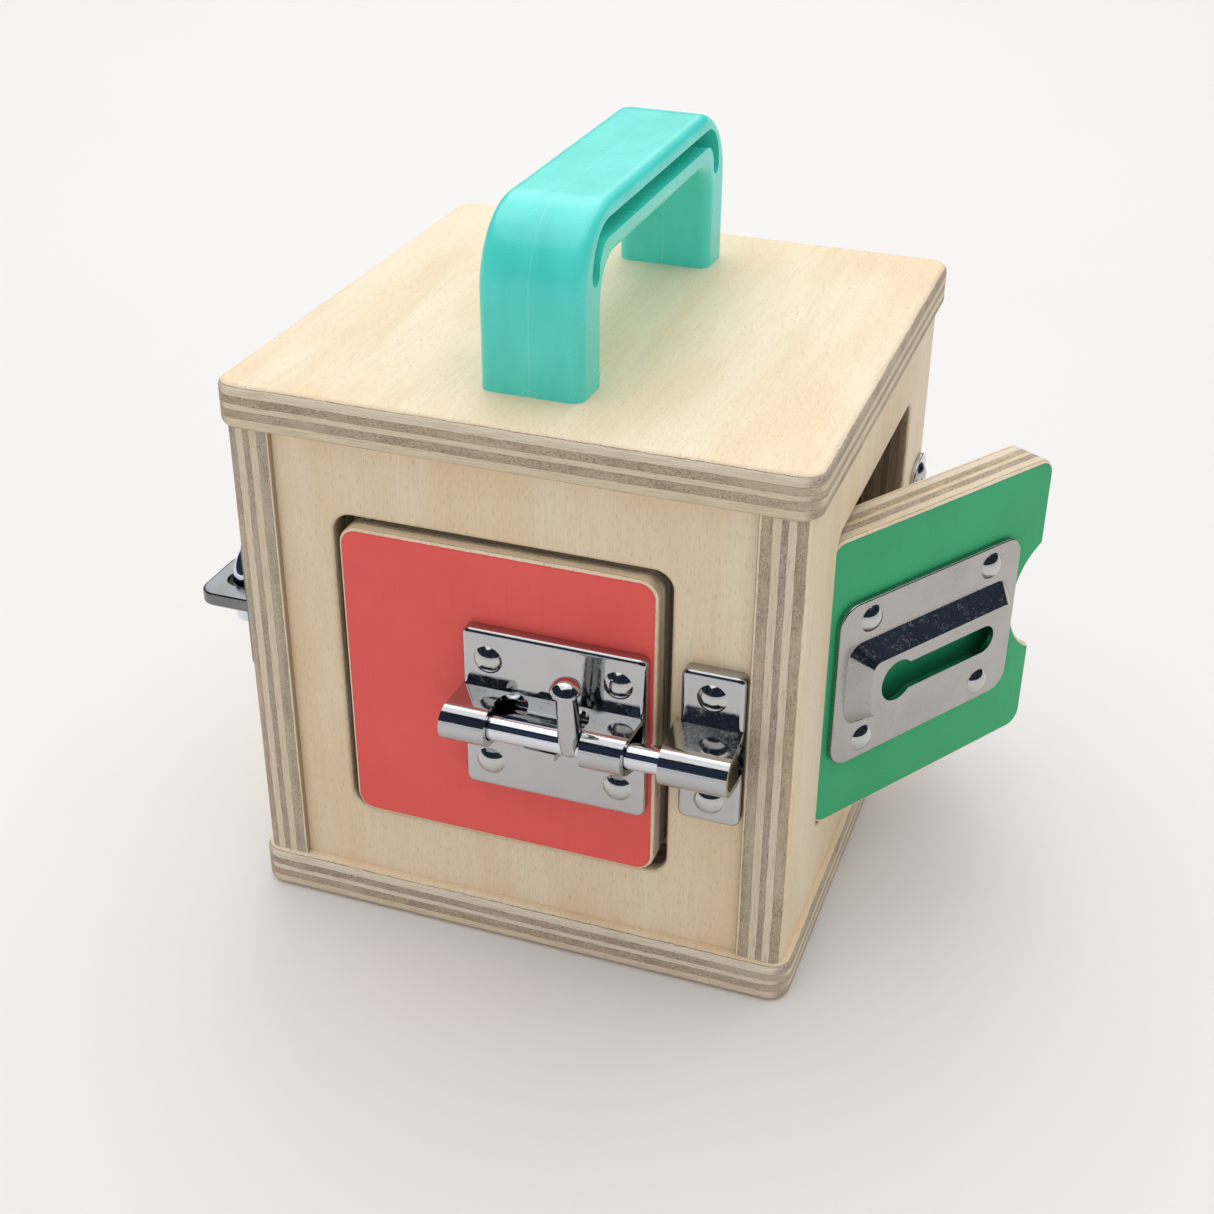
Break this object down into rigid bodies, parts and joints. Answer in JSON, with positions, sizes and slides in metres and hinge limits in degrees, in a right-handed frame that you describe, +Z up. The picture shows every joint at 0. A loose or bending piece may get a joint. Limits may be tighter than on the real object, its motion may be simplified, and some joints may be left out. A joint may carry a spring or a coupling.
{
  "type": "wooden latch box",
  "caption": "Plywood cube with a plastic carry handle and a small hinged door in each side wall, each door kept shut by a different metal latch.",
  "frame": {"origin": "centre of the base's underside, on the floor", "axes": "+Z up, -Y out of the front with the bolted door, +X to the viewer's right of the front"},
  "size_m": [0.2065, 0.1867, 0.196],
  "materials": {
    "birch_plywood": "satin, clear varnish",
    "beech_dowel": "sanded",
    "red_door": "painted front, plywood edges",
    "green_door": "painted front, plywood edges",
    "yellow_door": "painted front, plywood edges",
    "blue_door": "painted front, plywood edges",
    "teal_plastic": "semi-gloss",
    "chrome_plate": "mirror polished",
    "satin_steel": "satin"
  },
  "bodies": {
    "carcass": {"base_board": "birch_plywood", "lid_board": "birch_plywood", "left_side_panel": "birch_plywood", "right_side_panel": "birch_plywood", "front_panel": "birch_plywood", "back_panel": "birch_plywood", "base_dowels": "beech_dowel", "lid_dowels": "beech_dowel", "corner_dowels": "beech_dowel", "carry_handle": "teal_plastic", "handle_screws": "satin_steel", "front_door_pivots": "satin_steel", "right_door_pivots": "satin_steel", "left_door_pivots": "satin_steel", "back_door_pivots": "satin_steel", "bolt_keeper": "chrome_plate", "bolt_keeper_screws": "chrome_plate", "chain_anchor_plate": "chrome_plate", "chain_anchor_screws": "chrome_plate", "hook_eye_bracket": "chrome_plate", "hook_eye_screws": "chrome_plate", "staple_plate": "chrome_plate", "staple_plate_screws": "chrome_plate"},
    "front_door": {"front_door_panel": "red_door", "bolt_housing": "chrome_plate", "bolt_housing_screws": "chrome_plate"},
    "bolt_rod": {"bolt_rod": "chrome_plate"},
    "bolt_knob": {"bolt_knob": "chrome_plate"},
    "right_door": {"right_door_panel": "green_door", "chain_slot_plate": "satin_steel", "chain_slot_plate_screws": "chrome_plate"},
    "chain_upper": {"chain_links_upper": "chrome_plate"},
    "chain_lower": {"chain_links_lower": "chrome_plate"},
    "chain_button": {"chain_end_button": "chrome_plate"},
    "left_door": {"left_door_panel": "yellow_door", "hook_pivot_plate": "chrome_plate", "hook_plate_screws": "chrome_plate", "hook_pivot_pin": "chrome_plate"},
    "cabin_hook": {"cabin_hook": "chrome_plate"},
    "back_door": {"back_door_panel": "blue_door", "hasp_fixed_leaf": "chrome_plate", "hasp_leaf_screws": "chrome_plate", "hasp_hinge_pin": "chrome_plate"},
    "hasp_leaf": {"hasp_swing_leaf": "chrome_plate"},
    "staple": {"swivel_staple": "chrome_plate"}
  },
  "joints": [
    {"name": "front_door_hinge", "type": "hinge", "parent": "carcass", "child": "front_door", "pos_m": [-0.0382, -0.0697, 0.076], "axis": [0, 0, -1], "range_deg": [0, 100]},
    {"name": "bolt_slide", "type": "slide", "parent": "front_door", "child": "bolt_rod", "axis": [-1, 0, 0], "range_m": [0, 0.0166]},
    {"name": "bolt_turn", "type": "hinge", "parent": "bolt_rod", "child": "bolt_knob", "pos_m": [0.0213, -0.085, 0.0756], "axis": [1, 0, 0], "range_deg": [0, 156]},
    {"name": "right_door_hinge", "type": "hinge", "parent": "carcass", "child": "right_door", "pos_m": [0.0705, -0.034, 0.0753], "axis": [0, 0, -1], "range_deg": [-32, 43]},
    {"name": "chain_swing", "type": "hinge", "parent": "carcass", "child": "chain_upper", "pos_m": [0.0821, 0.0644, 0.0756], "axis": [1, 0, 0], "range_deg": [-15, 60]},
    {"name": "chain_fold", "type": "hinge", "parent": "chain_upper", "child": "chain_lower", "pos_m": [0.0821, 0.0644, 0.04805], "axis": [1, 0, 0], "range_deg": [-15, 30]},
    {"name": "chain_button_swing", "type": "hinge", "parent": "chain_lower", "child": "chain_button", "pos_m": [0.0821, 0.0644, 0.01295], "axis": [1, 0, 0], "range_deg": [-30, 30]},
    {"name": "left_door_hinge", "type": "hinge", "parent": "carcass", "child": "left_door", "pos_m": [-0.0705, 0.0373, 0.076], "axis": [0, 0, -1], "range_deg": [0, 100]},
    {"name": "cabin_hook_lift", "type": "hinge", "parent": "left_door", "child": "cabin_hook", "pos_m": [-0.0765, -0.0028, 0.094], "axis": [-1, 0, 0], "range_deg": [0, 90]},
    {"name": "back_door_hinge", "type": "hinge", "parent": "carcass", "child": "back_door", "pos_m": [0.0382, 0.0697, 0.076], "axis": [0, 0, -1], "range_deg": [0, 100]},
    {"name": "hasp_hinge", "type": "hinge", "parent": "back_door", "child": "hasp_leaf", "pos_m": [-0.0238, 0.0781, 0.076], "axis": [0, 0, -1], "range_deg": [0, 150]},
    {"name": "staple_turn", "type": "hinge", "parent": "carcass", "child": "staple", "pos_m": [-0.0535, 0.073, 0.076], "axis": [0, 1, 0], "range_deg": [0, 90]}
  ]
}
